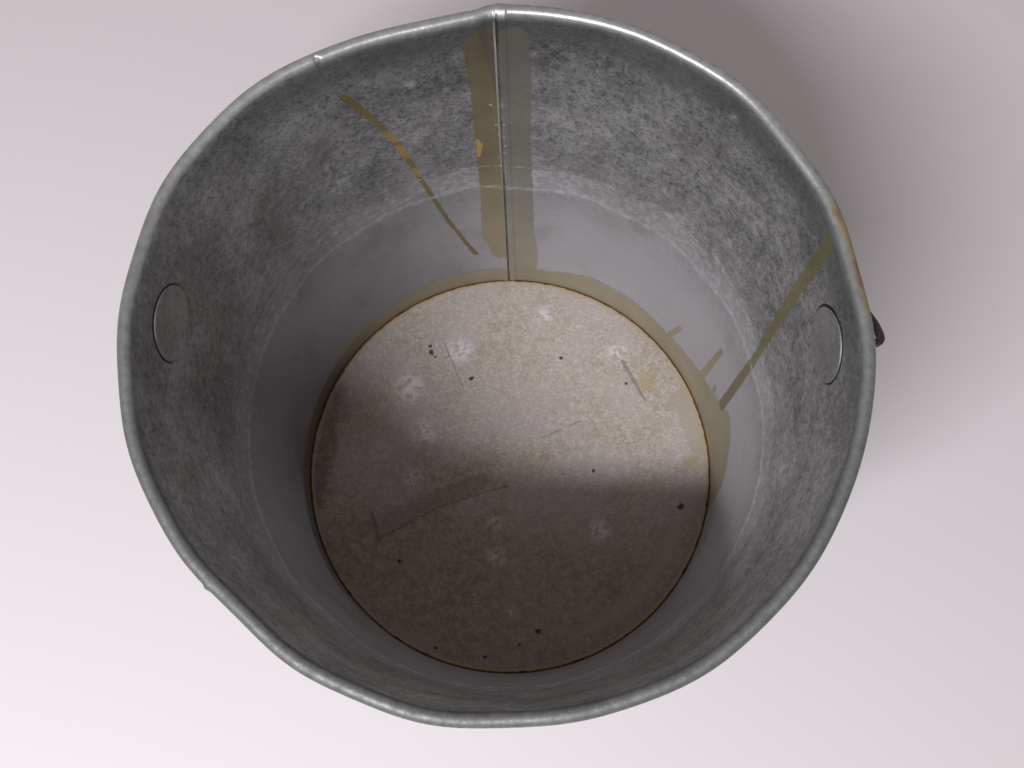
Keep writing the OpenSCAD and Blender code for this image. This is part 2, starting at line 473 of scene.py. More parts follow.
# %% Build the ears
def make_ear(name, side):
    """The outer stamping: flange and hollow dome, with the eye cut straight along the pivot."""
    wall_t = EAR_T * (DOME_H - EAR_T) / math.hypot(DOME_H - EAR_T, (DOME_D - DOME_TOP_D) / 2)
    corners = [(0, DOME_H), (DOME_TOP_D / 2, DOME_H), (DOME_D / 2, EAR_T), (EAR_D / 2, EAR_T),
               (EAR_D / 2, 0), (DOME_D / 2 - wall_t, 0), (DOME_TOP_D / 2 - wall_t, DOME_H - EAR_T),
               (0, DOME_H - EAR_T)]
    outline = rounded(corners, 1.2, 5)
    ear = lathe(name, outline, ear_place(side) @ Matrix.Translation((0, 0, SHEET + EAR_GAP)))
    eye = np.array([(0, -12), (EYE_R, -12), (EYE_R, 12), (0, 12)])
    at_dome = Matrix.Translation((side * (EAR_WALL_R + DOME_H), PIVOT.y, PIVOT.z))
    cutter = lathe("eye_cutter", eye, at_dome @ Matrix.Rotation(math.radians(90), 4, "Y"), turns=32)
    cut = ear.modifiers.new("eye", "BOOLEAN")
    cut.operation, cut.object, cut.solver = "DIFFERENCE", cutter, "EXACT"
    shaped = bpy.data.meshes.new_from_object(ear.evaluated_get(bpy.context.evaluated_depsgraph_get()))
    ear.modifiers.clear()
    ear.data = shaped
    bpy.data.objects.remove(cutter)
    return ear


def make_ear_plate(name, side):
    """The inner disc with soft edges, pressed against the curve of the wall."""
    corners = [(0, 0), (EAR_D / 2, 0), (EAR_D / 2, SHEET), (0, SHEET)]
    corners[1:1] = [(r, 0) for r in np.linspace(2, EAR_D / 2 - 2, 6)]
    corners[-1:-1] = [(r, SHEET) for r in np.linspace(EAR_D / 2 - 2, 2, 6)]
    far, depth = np.array(rounded(corners, 0.3)).T
    turn = np.linspace(0, 2 * math.pi, 96, endpoint=False)[:, None]
    z = PIVOT.z + far * np.sin(turn)
    azimuth = (EAR_TURN if side > 0 else 180 - EAR_TURN) + np.degrees(far * np.cos(turn) / EAR_WALL_R)
    radius = wall_in_r(z) + wall_shift(azimuth, z) - EAR_GAP - depth
    around = np.radians(azimuth)
    return grid_mesh(name, np.stack([radius * np.cos(around), radius * np.sin(around), z], 2), loop=False)


for word, side in (("left", -1), ("right", 1)):
    for kind, make in (("ear", make_ear), ("ear_plate", make_ear_plate)):
        node = f"{kind}_{word}"
        piece = make(node + "_worn", side)
        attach(piece, "bucket")
        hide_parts(node)

# %% [markdown]
# ## The bail
#
# The bail is one length of drawn wire. Its middle is a big arc, each end bends in with a
# smaller arc, and a short straight tip goes through the ear's eye. A path follows those arcs,
# and Geometry Nodes sweep a round section along it, which is how a wire that follows a rule is
# best made. Long use has left the arc slightly bent, and rust has eaten the surface, so the
# sweep ends with a fine push of every point along its normal.

# %% The bail's path
BAIL_WIRE_R = 1.9
BAIL_R, BAIL_DEPTH, BAIL_BEND_R = 166, 200, 13
TIP_X = 145
BAIL_REST = 52
BAIL_SAG = 0.7
PIT_DEPTH, PIT_SIZE = 0.12, 2.5


def bail_path():
    """Points along the wire's middle at rest, in mm, from the left tip to the right one."""
    middle = BAIL_DEPTH - BAIL_R
    bend_x = math.sqrt((BAIL_R - BAIL_BEND_R) ** 2 - (BAIL_BEND_R - middle) ** 2)
    start = math.atan2(BAIL_BEND_R - middle, bend_x)
    flat = [(x, 0) for x in np.linspace(TIP_X, bend_x, 5)[:-1]]
    for a in np.linspace(-math.pi / 2, start, 22)[:-1]:
        flat.append((bend_x + BAIL_BEND_R * math.cos(a), BAIL_BEND_R * (1 + math.sin(a))))
    for a in np.linspace(start, math.pi / 2, 120):
        flat.append((BAIL_R * math.cos(a), middle + BAIL_R * math.sin(a)))
    right = np.array(flat)
    left = (right * [-1, 1])[:-1]
    path = np.concatenate([left, right[::-1]])
    along, down = path[:, 0], path[:, 1]
    off = BAIL_SAG * ramp(down, 20, 90) * np.cos(along * 0.035 + 0.6)
    rest = math.radians(BAIL_REST)
    y = PIVOT.y + down * math.cos(rest) + off * math.sin(rest)
    z = PIVOT.z - down * math.sin(rest) + off * math.cos(rest)
    return np.stack([along, y, z], 1)


def path_object(name, points):
    """An open line of edges through the points."""
    mesh = bpy.data.meshes.new(name)
    edges = [(i, i + 1) for i in range(len(points) - 1)]
    mesh.from_pydata((points * MM).tolist(), edges, [])
    return into_scene(name, mesh)


# %% [markdown]
# ## Nodes
#
# The bail's sweep and all the finishes are trees of nodes. One function adds a node, and plain
# arithmetic on what it returns adds the nodes of a sum. Colours are written as the usual hex
# values, and one function turns them into the linear light that a shader works in.


# %% Colour
def colour(text):
    """A #RRGGBB colour as linear RGBA."""
    shares = [int(text[i : i + 2], 16) / 255 for i in (1, 3, 5)]
    return tuple(c / 12.92 if c <= 0.04045 else ((c + 0.055) / 1.055) ** 2.4 for c in shares) + (1.0,)


# %% Adding nodes
# The kinds of node that come up most: type, sockets in the order they are fed, output, settings.
KINDS = {
    "mix": ("ShaderNodeMix", (0, 6, 7), 2, {"data_type": "RGBA"}),
    "share": ("ShaderNodeMapRange", range(5), 0, {"interpolation_type": "SMOOTHSTEP"}),
    "noise": ("ShaderNodeTexNoise", ("Vector", "Scale", "Detail", "Roughness", "Distortion"), 0, {}),
    "scale": ("ShaderNodeVectorMath", (0, 3), 0, {"operation": "SCALE"}),
    "distance": ("ShaderNodeVectorMath", (0, 1), 1, {"operation": "DISTANCE"}),
}


def add(kind, *inputs, tree=None, out=None, **settings):
    """Adds a node with its settings and links, to the tree of its inputs or to the one given.
    Inputs are in the order of the sockets, or one dictionary. Returns an output as a Value."""
    kind, sockets, first_out, preset = KINDS.get(kind, (kind, range(len(inputs)), 0, {}))
    named = inputs and isinstance(inputs[0], dict)
    feeds = inputs[0] if named else dict(zip(sockets, inputs))
    tree = tree or next(value.tree for value in feeds.values() if isinstance(value, Value))
    node = tree.nodes.new(kind)
    for name, value in (preset | settings).items():
        setattr(node, name, value)
    feed(node, feeds)
    return Value(node.outputs[first_out if out is None else out])


def feed(node, feeds):
    """Links or sets the sockets of a node that the keys name or number. A text is a colour."""
    for key, value in feeds.items():
        if isinstance(value, Value):
            value.tree.links.new(value.socket, node.inputs[key])
        else:
            node.inputs[key].default_value = colour(value) if isinstance(value, str) else value


# %% Sums of nodes
class Value:
    """An output of a node. Arithmetic on it adds the nodes that work it out, so that a formula
    reads as one. A product has no node until it's used, so that a sum with it is one node too."""

    def __init__(self, socket=None, factors=None):
        self.made, self.factors = socket, factors
        self.tree = socket.id_data if socket else factors[0].tree

    @property
    def socket(self):
        """The socket that holds the value."""
        if self.made is None:
            self.made = self.factors[0].math("MULTIPLY", self.factors[1]).socket
        return self.made

    def math(self, operation, *others):
        """The result of one of the operations of arithmetic."""
        return add("ShaderNodeMath", self, *others, operation=operation)

    def __mul__(self, other):
        return Value(factors=(self, other))

    def __add__(self, other):
        if self.factors:
            return self.factors[0].math("MULTIPLY_ADD", self.factors[1], other)
        return self.math("ADD", other)

    def __sub__(self, other):
        return self.math("SUBTRACT", other) if isinstance(other, Value) else self + -other

    def __rsub__(self, other):
        return add("ShaderNodeMath", other, self, operation="SUBTRACT")

    def __abs__(self):
        return self.math("ABSOLUTE")


def least(*values):
    """The smallest of some values."""
    return functools.reduce(lambda lowest, value: lowest.math("MINIMUM", value), values)


def most(*values):
    """The largest of some values."""
    return functools.reduce(lambda highest, value: highest.math("MAXIMUM", value), values)


# %% A Geometry Nodes sweep
def geometry_tree(name, numbers):
    """An empty tree with a geometry input and output and named number inputs."""
    tree = bpy.data.node_groups.new(name, "GeometryNodeTree")
    tree.interface.new_socket("Geometry", in_out="INPUT", socket_type="NodeSocketGeometry")
    tree.interface.new_socket("Geometry", in_out="OUTPUT", socket_type="NodeSocketGeometry")
    for label in numbers:
        tree.interface.new_socket(label, in_out="INPUT", socket_type="NodeSocketFloat")
    given = {socket.name: Value(socket) for socket in tree.nodes.new("NodeGroupInput").outputs}
    return tree, given


def run_tree(piece, tree, numbers):
    """Runs the tree on the piece with the given numbers and keeps the result as a plain mesh."""
    modifier = piece.modifiers.new(tree.name, "NODES")
    modifier.node_group = tree
    for item in tree.interface.items_tree:
        if item.in_out == "INPUT" and item.name in numbers:
            modifier[item.identifier] = float(numbers[item.name])
    done = bpy.data.meshes.new_from_object(piece.evaluated_get(bpy.context.evaluated_depsgraph_get()))
    piece.modifiers.clear()
    piece.data = done
    return piece


def wire_tree(material):
    """Sweeps a round section along the path and roughens it."""
    tree, given = geometry_tree("wire sweep", ["Wire radius", "Pit depth", "Pit size"])
    line = add("GeometryNodeMeshToCurve", given["Geometry"])
    section = add("GeometryNodeCurvePrimitiveCircle", {"Resolution": 18, "Radius": given["Wire radius"]})
    tube = add("GeometryNodeCurveToMesh", {"Curve": line, "Profile Curve": section, "Fill Caps": True})
    scale = add("ShaderNodeMath", 1.0, given["Pit size"], operation="DIVIDE")
    pits = add("ShaderNodeTexNoise", {"Scale": scale, "Detail": 3.0})
    push = add("scale", add("GeometryNodeInputNormal", tree=tree), (pits - 0.5) * given["Pit depth"])
    rough = add("GeometryNodeSetPosition", {"Geometry": tube, "Offset": push})
    plain = add("GeometryNodeRealizeInstances", rough)
    done = add("GeometryNodeSetMaterial", {"Geometry": plain, "Material": material})
    feed(tree.nodes.new("NodeGroupOutput"), {0: add("GeometryNodeSetShadeSmooth", {"Geometry": done})})
    return tree


# %% [markdown]
# ## Hot-dip galvanizing
#
# Molten zinc freezes on steel in flat crystals, the spangle, and each crystal reflects a
# little differently. New zinc shines. On an old bucket it has turned to a dull grey patina
# with light and dark blotches and fine dark flecks, and the rim is rubbed pale. Clouds of
# three sizes and Voronoi cells for the crystals make that skin.
#
# Old varnish lies over it in streaks. They are drawn as strokes on the unrolled wall, where a
# point is a distance round the bucket and a height, so their edges stay crisp at any distance.

# %% Material helpers
def new_material(name):
    """A material, its tree with no more than a shader and an output, and the shader."""
    material = bpy.data.materials.new(name)
    material.use_nodes = True
    tree = material.node_tree
    return material, tree, tree.nodes["Principled BSDF"]


def set_material(piece, material):
    """Gives the whole piece one material."""
    piece.data.materials.clear()
    piece.data.materials.append(material)
    print(f"{piece.name}: {material.name}, {len(material.node_tree.nodes)} nodes")


def per(size_mm):
    """The scale of a pattern whose patches are about size_mm across."""
    return 1 / (size_mm * MM)


# %% Marks drawn on a surface
NOMINAL_R = 133


def unrolled(azimuth, height):
    """A point of the unrolled wall in mm: distance round the bucket, then height."""
    return (math.radians(azimuth) * NOMINAL_R, height, 0.0)


def flat(x, y):
    """A point of the bottom, in mm."""
    return (x, y, 0.0)


def object_axes(tree):
    """Object position, then azimuth in radians, height in mm and radius in mm."""
    position = add("ShaderNodeTexCoord", tree=tree, out="Object")
    x, y, z = (add("ShaderNodeSeparateXYZ", position, out=axis) for axis in range(3))
    radius = (x * x + y * y).math("SQRT") * (1 / MM)
    return position, y.math("ARCTAN2", x), z * (1 / MM), radius


def stretch(point, start, end, start_half, end_half):
    """Distance in mm from a point to the edge of one straight, tapered stretch."""
    start = Vector(start)
    run = Vector(end) - start
    from_start = add("ShaderNodeVectorMath", point, start, operation="SUBTRACT")
    along = run / run.length_squared
    share = add("ShaderNodeVectorMath", from_start, along, out=1, operation="DOT_PRODUCT")
    share = add("ShaderNodeClamp", share)
    gap = add("distance", from_start, add("scale", run, share))
    return gap - (share * (end_half - start_half) + start_half)


def strokes(point, lines, place):
    """Distance in mm to the nearest of some lines, whose points are two coordinates, which a
    function turns into a place, and half a width."""
    return least(*(stretch(point, place(*first[:2]), place(*second[:2]), first[2], second[2])
                   for line in lines for first, second in zip(line, line[1:])))


def spots(point, marks, place):
    """Distance in mm to the nearest of some round spots, given like the points of a line."""
    return least(*(add("distance", point, place(*mark[:2])) - mark[2] for mark in marks))


def facing(azimuth, towards, low, high):
    """A soft share of the side of the wall at an azimuth in degrees. It starts where the cosine
    of the way off that azimuth is low, and is whole where it is high."""
    return add("share", (azimuth - math.radians(towards)).math("COSINE"), low, high)


# %% Where the marks are on the wall
# lines of (azimuth, height, half width)
SEAM_LEFT = [[(94.6, 266, 4.0), (95.5, 260, 7.0), (95.6, 247, 6.9), (95.5, 222, 6.3), (95.5, 122, 6.4),
              (95.9, 74, 7.2), (94.2, 48, 5.2)]]
SEAM_RIGHT = [[(89.6, 262, 6.2), (89.2, 235, 6.8), (89.1, 164, 6.8), (88.9, 125, 7.6), (88.6, 75, 8),
               (88.1, 50, 9.6), (88.2, 30, 9)]]
THIN = [[(122.0, 245, 1.9), (118.8, 224, 1.8), (116.5, 208, 1.7), (114.0, 185, 1.6), (110.9, 144, 1.4),
         (106.9, 97, 1.2), (103.5, 68, 1.3), (101.3, 52, 1.7)]]
WIDE = [[(19.0, 268, 3.6), (18.3, 222, 3.4), (17.3, 179, 3.0), (15.7, 128, 2.6), (14.6, 57, 3.6)]]
DRIPS = [[(40.5, 36, 2.2), (38.4, 57, 1.7)], [(25.4, 40, 2.8), (24.7, 92, 1.8)],
         [(19.4, 44, 1.6), (19.7, 57, 1.7)]]
TAN_SPOT = [[(97.8, 177, 0.9), (97.3, 172, 1.5), (97.6, 167, 1.4), (97.8, 161, 0.8)]]
PALE_RUBS = [[(-166, 150, 1.6), (-148, 150.5, 1.6)], [(-136, 146, 1.2), (-121, 142, 1.0)],
             [(38.6, 156, 3), (32, 150, 3), (20, 143, 3), (5, 149, 2.6)]]
# spots of (azimuth, height, half width)
SOLDER_DOTS = [(94.4, 207.5, 0.8), (92.2, 207.5, 0.9), (91.9, 191, 0.8), (92.0, 179, 0.7),
               (91.9, 171, 0.8), (91.9, 164, 0.7), (93.5, 190.5, 0.6), (93.2, 182, 0.5),
               (93.4, 160, 0.5), (93.1, 152, 0.9)]
PALE_BLOTS = [(57.3, 152, 3), (52.9, 151, 4), (37.7, 153, 2.5), (47.4, 261, 2.5), (108.6, 150, 2.5),
              (109.5, 239, 4), (48, 259, 2), (74, 244, 1.5), (69, 233, 1.5), (85.6, 250, 2.5)]
# how high the crust above the bottom reaches, as (azimuth, height)
CRUST = [(-180, 25), (-168, 18), (-158, 0), (-14, 0), (-5, 46), (1, 55), (7, 65), (11, 68), (15, 55),
         (22, 46), (26, 42), (32, 37), (40, 35), (68, 35), (78, 29), (90, 27), (104, 27), (116, 30),
         (121, 26), (129, 24), (134, 25), (140, 28), (152, 30), (166, 29), (180, 25)]
CRUST_TALLEST = 80
print("marks on the wall:", sum(map(len, (
    SEAM_LEFT, SEAM_RIGHT, THIN, WIDE, DRIPS, TAN_SPOT, PALE_RUBS, SOLDER_DOTS, PALE_BLOTS))))


def crust_height(azimuth):
    """The crust's height in mm at an azimuth in radians, from a curve."""
    height = add("ShaderNodeFloatCurve", {"Value": azimuth * (1 / (2 * math.pi)) + 0.5})
    mapping = height.socket.node.mapping
    curve = mapping.curves[0]
    ends = [((az + 180) / 360, top / CRUST_TALLEST) for az, top in CRUST]
    curve.points[0].location, curve.points[1].location = ends[0], ends[-1]
    for place in ends[1:-1]:
        curve.points.new(*place)
    for handle in curve.points:
        handle.handle_type = "VECTOR"
    mapping.update()
    return height * CRUST_TALLEST


# %% The zinc itself
def zinc(position, contrast):
    """(colour, brightness, patches, clouds) of the dulled spangle."""
    cloud = add("noise", position, per(30), 3, 0.6)
    patch = add("noise", position, per(3.8), 3, 0.7, 0.2)
    fleck = add("noise", position, per(1.5), 1, 0.5)
    crystal = add("ShaderNodeTexVoronoi", {"Vector": position, "Scale": per(3.4)}, out="Color")
    crystal = add("ShaderNodeSeparateColor", crystal)
    fine = patch * 0.8 + crystal * 0.14 - add("share", fleck, 0.54, 0.66) * 0.24
    bright = (fine + (cloud * 0.9 - 0.87)) * contrast
    tone = add("ShaderNodeValToRGB", bright + 0.5)
    stops = tone.socket.node.color_ramp.elements
    stops[0].position, stops[0].color = 0.16, colour("#505053")
    stops[1].position, stops[1].color = 0.86, colour("#B0AFB4")
    stops.new(0.5).color = colour("#838285")
    return tone, bright, patch, cloud


def small_relief(position, depth_mm=0.1, size_mm=2.6):
    """The faint unevenness of a dipped skin."""
    lumps = add("noise", position, per(size_mm), 2, 0.6)
    return add("ShaderNodeBump", {"Strength": 1.0, "Distance": depth_mm * MM, "Height": lumps})


# %% [markdown]
# ## The wall, coat by coat
#
# The wall's finish is laid in coats, mostly like the real one. First comes the zinc, with its
# paler low skin and painted shade under the rim, then what has rubbed it, then the varnish, then
# painted light and shade that differ by side, then painted shade in the crevices round the ears,
# and last the worn seam and the worn rim, with a painted highlight at its back. Each coat is a
# short function that takes the colour so far and gives it back with one more layer.

# %% The wall's skin
# azimuths of the sides where the zinc, its rubbing and the painted light and shade differ, and of two
# places on them
SEAM_SIDE, RIGHT_SIDE, NEAR_SIDE, BACK_SIDE, LEFT_SIDE, LEFT_CORNER = 62, 38, -90, 90, 150, 183
RUBBED_AZ = 88
RIM_STAIN_AZ = 15
AMBER_HEIGHT = 176


def wall_skin(tree):
    """The wall's zinc, and what all its coats share: where a point is, which side of the bucket
    it is on, and the patterns that break up their edges."""
    at = SimpleNamespace()
    at.position, at.azimuth, at.height, at.radius = object_axes(tree)
    inside = add("ShaderNodeAttribute", tree=tree, out=2, attribute_name="inside")
    at.within = add("share", inside, 0.6, 0.8)
    at.point = add("ShaderNodeCombineXYZ", at.azimuth * NOMINAL_R, at.height, 0.0)
    at.across = (at.azimuth - math.radians(SEAM_AZ)) * at.radius
    at.seam_side = facing(at.azimuth, SEAM_SIDE, -0.2, 0.7)
    at.right_side = facing(at.azimuth, RIGHT_SIDE, 0, 0.8)
    at.near_side = facing(at.azimuth, NEAR_SIDE, -0.1, 0.45)
    at.low = add("share", at.height, 185, 85)
    contrast = (at.seam_side * 0.24 + 0.76) * (at.low * -0.6 + 1.0)
    tone, at.bright, at.patch, at.cloud = zinc(at.position, contrast)
    at.patchy = add("share", at.patch, 0.45, 0.58)
    at.ragged = at.patch * 1.6 - 0.8
    at.rusty = add("share", add("noise", at.position, per(8), 2, 0.55), 0.45, 0.6)
    at.from_band = abs(at.height - (BAND_LOW + BAND_HIGH) / 2)
    half_band = (BAND_HIGH - BAND_LOW) / 2 + BAND_RAMP
    at.on_edge = add("share", abs(at.from_band - half_band), 1.3, 0.3)
    return at, tone


# %% Tones and rubs
def toned(at, tone):
    """A cooler, paler skin low on the inner face, lighter still on the right side as painted
    light, painted shade under the rim, and brown grime.
    """
    # the paler low skin is the zinc's own; its lighter tone on the right side is painted light
    low_tone = add("mix", at.right_side, "#9C9AA0", "#BFBDC4")
    tone = add("mix", at.low * at.within * 0.72, tone, low_tone)
    # painted shade under the rim, strongest on the seam's side
    painted_rim_shade = add("share", at.cloud * 30 + at.height, 266, 280)
    tone = add("mix", painted_rim_shade * (at.seam_side * 0.5 + 0.15), tone, "#595E5E")
    grime = add("share", add("noise", at.position, per(48), 3, 0.6), 0.48, 0.72)
    return add("mix", grime * 0.35, tone, "#6E645C")


def rubbed_band(at, tone):
    """The pressed band, rubbed pale and most of all at its two edges, and other pale rubs."""
    from_seam = abs(at.azimuth - math.radians(RUBBED_AZ))
    at_seam = add("share", from_seam, math.radians(26), math.radians(10), 0.22, 1.0)
    in_band = add("share", at.from_band, 15, 9) * (at.patchy * 0.3 + 0.2)
    rubbed = most((at.patchy * 0.6 + 0.1) * at.on_edge, in_band) * most(at_seam, at.right_side * 0.6)
    scuff = add("share", at.patch, 0.6, 0.68) * add("share", at.from_band, 26, 4)
    blots = least(spots(at.point, PALE_BLOTS, unrolled), strokes(at.point, PALE_RUBS, unrolled))
    blots = add("share", at.ragged * 6 + blots, 1.5, -3, 0, 0.7) * add("share", at.patch, 0.42, 0.6, 0.2, 1)
    return add("mix", most(rubbed, scuff * 0.5, blots) * at.within, tone, "#D2D1D8")


# %% Varnish
def varnished(at, tone):
    """Old varnish: each coat is a distance to its edge, a strength and a colour. Gives the film's
    share too."""
    crust = at.ragged * 2.5 + (at.height - crust_height(at.azimuth))
    line = add("share", abs(crust - 0.9), 0.9, 0.3) * (add("share", at.cloud, 0.42, 0.55) * 0.5)
    tone = add("mix", line * at.within, tone, "#5A5560")
    pale = add("share", at.height, 170, 40)
    amber = at.rusty * add("share", abs(at.height - AMBER_HEIGHT), 34, 22)
    left = least(strokes(at.point, SEAM_LEFT + DRIPS, unrolled), crust)
    right, wide, thin, tan = (strokes(at.point, lines, unrolled)
                              for lines in (SEAM_RIGHT, WIDE, THIN, TAN_SPOT))
    coats = [
        (right, 0.88, add("mix", pale, "#69655F", "#88826F")),
        (left, 0.93, add("mix", pale, "#6A5F46", "#8F846D")),
        (wide, 0.93, colour("#696343")[:3]),
        (thin, 0.95, add("mix", amber, "#6C5E38", "#917743")),
        (tan, 0.8, colour("#A98D55")[:3]),
    ]
    uneven = at.cloud * 0.5 + 0.75
    covers = []
    for edge, strength, stain in coats:
        covers.append(add("share", edge + at.ragged, 0.35, -0.35) * at.within)
        tone = add("mix", covers[-1] * strength, tone, add("scale", stain, uneven))
    film = most(*covers)
    tone = add("mix", film * at.on_edge * (at.patchy * 0.25 + 0.1), tone, "#C9C4B8")
    # near the rim the varnish beside the fold is thin and dark
    beside = add("share", at.height * 0.12 - 24 - at.across, -0.6, 0.6) * add("share", at.across, 0.2, 1.0)
    return add("mix", film * beside * 0.6, tone, "#545250"), film


# %% Painted light and shade
def painted_light_and_shade(at, tone):
    """Painted light and shade on the inner face: lighter on the near side, darker on the left side,
    and darker again under the rim and in the left of the corner above the bottom."""
    # painted light on the near side and painted shade on the left side
    depth = facing(at.azimuth, LEFT_SIDE, 0.1, 0.95) * -0.15 + (at.near_side * 0.42 + 1.04)
    # painted shade under the rim, on the seam's side
    under = add("share", at.height, 200, 262, 0, 0.3) * at.seam_side
    # painted shade in the corner above the bottom, on the left
    corner = add("share", at.ragged * 2 + at.height, 27, 22, 0, 0.5)
    corner = corner * facing(at.azimuth, LEFT_CORNER, 0.6, 0.9)
    depth = depth * (1.0 - most(under, corner))
    return add("scale", tone, (depth - 1.0) * at.within + 1.0)


def painted_ear_crevice_shade(at, tone):
    """Painted shade in the crevice round each ear's inner plate, full at its top and sides and faint at its
    bottom.
    """
    in_plane = add("ShaderNodeVectorMath", at.position, (0, 1 / MM, 1 / MM), operation="MULTIPLY")
    from_eye = add("distance", in_plane, (0, PIVOT.y, PIVOT.z))
    crevice = add("share", at.ragged * 0.3 + from_eye, EAR_D / 2 + 1.1, EAR_D / 2 + 0.5)
    crevice = crevice * add("share", at.height, PIVOT.z - 18, PIVOT.z - 4, 0.2, 1)
    # the painted shade in the crevice is nearly black
    return add("mix", crevice * at.within, tone, "#161312")


# %% The seam and the rim
def seam_fold(at, tone):
    """The fold of the seam: rubbed bright on its edge, dark in its groove, with drops of solder."""
    on_fold = add("share", abs(at.across - 0.85), 0.7, 0.4) * add("share", at.height, 130, 185, 0.12, 0.8)
    tone = add("mix", on_fold * (at.patchy * 0.3 + 0.7) * at.within, tone, "#A6A298")
    in_groove = add("share", abs(at.across + 0.1), 0.75, 0.45)
    deep = add("share", at.height, 165, 130, 0.15, 0.6) + add("share", at.height, 248, 258, 0, 0.5)
    tone = add("mix", in_groove * (at.patchy * 0.3 + deep) * at.within, tone, "#473B2D")
    dots = add("share", spots(at.point, SOLDER_DOTS, unrolled) + at.ragged, 0.3, -0.3)
    return add("mix", dots * (at.within * 0.7), tone, "#B4B0A6")


def rubbed_rim_and_painted_light(at, tone):
    """The rolled rim, rubbed pale, with a painted highlight at the back and painted shade on the near
    side, and old varnish on its outer side to the right. Gives the shares of rim and varnish too."""
    on_rim = add("share", at.height, BEAD_Z - 0.5, BEAD_Z + 1.5) * 0.9
    bare = add("mix", at.patch, "#626363", "#ABACAD")
    # a painted highlight brightens the back of the rim and painted shade darkens its near side, over the
    # rubbed zinc
    back_highlight = facing(at.azimuth, BACK_SIDE, 0.1, 0.7) * 0.5 + 1.0
    tone = add("mix", on_rim, tone, add("scale", bare, at.near_side * -0.42 + back_highlight))
    stain = add("share", abs(at.azimuth - math.radians(RIM_STAIN_AZ)), 0.19, 0.15)
    stain = stain * add("share", at.ragged * 2.5 + at.radius - BEAD_MID_R, -1.9, -0.4)
    stain = stain * add("share", at.patch, 0.3, 0.42, 0.35, 1)
    stain = stain * add("share", at.height, BEAD_Z - 3, BEAD_Z - 1)
    brown = add("mix", at.rusty, "#7D6A40", "#6B4C34")
    return add("mix", stain * 0.85, tone, brown), on_rim, stain


# %% The wall's finish
def galvanized_wall():
    """Dulled zinc under all its coats, with a little rust round the foot, outside."""
    material, tree, shader = new_material("dulled hot-dip galvanizing")
    at, tone = wall_skin(tree)
    tone, film = varnished(at, rubbed_band(at, toned(at, tone)))
    tone, on_rim, stain = rubbed_rim_and_painted_light(at, seam_fold(at, painted_ear_crevice_shade(at, painted_light_and_shade(at, tone))))
    foot = add("share", at.height, 12, 2) * add("share", at.patch, 0.4, 0.58) * (1.0 - at.within)
    feed(shader, {
        "Base Color": add("mix", foot * 0.8, tone, "#74503A"),
        "Metallic": (1.0 - most(film, foot, stain)) * (on_rim * 0.25 + 0.38),
        "Roughness": on_rim * (at.near_side * 0.25 - 0.18) + add("share", at.bright, -0.3, 0.3, 0.62, 0.48),
        "Normal": small_relief(at.position),
    })
    return material


set_material(wall, galvanized_wall())

# %% [markdown]
# ## The other finishes
#
# The ears share the wall's zinc without its varnish, and are a little smoother. The bottom
# carries a dry crust of beige-grey dirt over the zinc: it has pale blooms, dark pits, smooth
# patches of varnish near its edge, and a brown crevice all round. The bail has no zinc left:
# it is dark, scaly iron oxide with a warmer bloom.


# %% Ears and rim wire
def galvanized_plain():
    """Dulled zinc for the small stampings."""
    material, tree, shader = new_material("dulled zinc on stampings")
    position = object_axes(tree)[0]
    tone, bright = zinc(position, 0.6)[:2]
    feed(shader, {
        "Base Color": add("mix", 0.3, tone, "#8E8C8C"),
        "Metallic": 0.5,
        "Roughness": add("share", bright, -0.3, 0.3, 0.6, 0.46),
        "Normal": small_relief(position),
    })
    return material


zinc_plain = galvanized_plain()
for name in ("ear_left", "ear_right", "ear_plate_left", "ear_plate_right", "rim_wire"):
    set_material(bpy.data.objects[name + "_worn"], zinc_plain)

# %% Where the marks are on the bottom
# spots of (x, y, half width) in mm
PALE_BLOOMS = [(18, 99, 8), (64, 76, 9), (-64, 49, 12), (-34, 74, 11), (-54, 20, 11), (-78, 8, 7),
               (-59, -8, 8), (-101, -24, 4), (-7, -34, 7), (-6, -54, 8), (56, -36, 9), (4, -87, 5)]
PITS = [(-53, 76, 1.0), (-52, 72, 1.3), (-49, 69, 0.9), (-26, 56, 1.3), (29, 71, 1.1), (51, 0, 0.9),
        (21, -97, 1.5), (-10, -113, 1.2), (-64, -59, 1.0), (104, -20, 1.8), (70, 56, 0.8),
        (57, 107, 1.0), (6, -108, 0.7), (10, -105, 0.6), (-39, -109, 1.1), (-16, -119.5, 1.3),
        (23, -118.5, 1.1), (-3, -119.8, 0.8)]
OCHRE = [(83, 57, 7), (111, 8, 5)]
# lines of (x, y, half width) in mm
VARNISH_PATCH = [[(107, 47, 9), (117, 20, 8)]]
CRESCENT = [[(107, -20, 2), (96, -50, 4), (74, -80, 4), (40, -102, 2)], [(-64, -98, 2), (-40, -111, 3.5)]]
SCRATCHES = [[(68, 70, 1.4), (82, 46, 0.4)], [(-44, 78, 0.5), (-32, 52, 0.3)],
             [(20, 20, 0.3), (44, 32, 0.3)], [(-77, -46, 0.6), (-41, -25, 0.5), (-1, -11, 0.3)],
             [(-82, -31, 1.1), (-77, -46, 1.1)]]
STRIP = [[(-79, -39, 7), (-18, -9, 5)]]
BLACK_STAIN = [[(-110, 42, 4), (-117, -22, 5)]]
print("marks on the bottom:", sum(map(len, (
    PALE_BLOOMS, PITS, OCHRE, VARNISH_PATCH, CRESCENT, SCRATCHES, STRIP, BLACK_STAIN))))


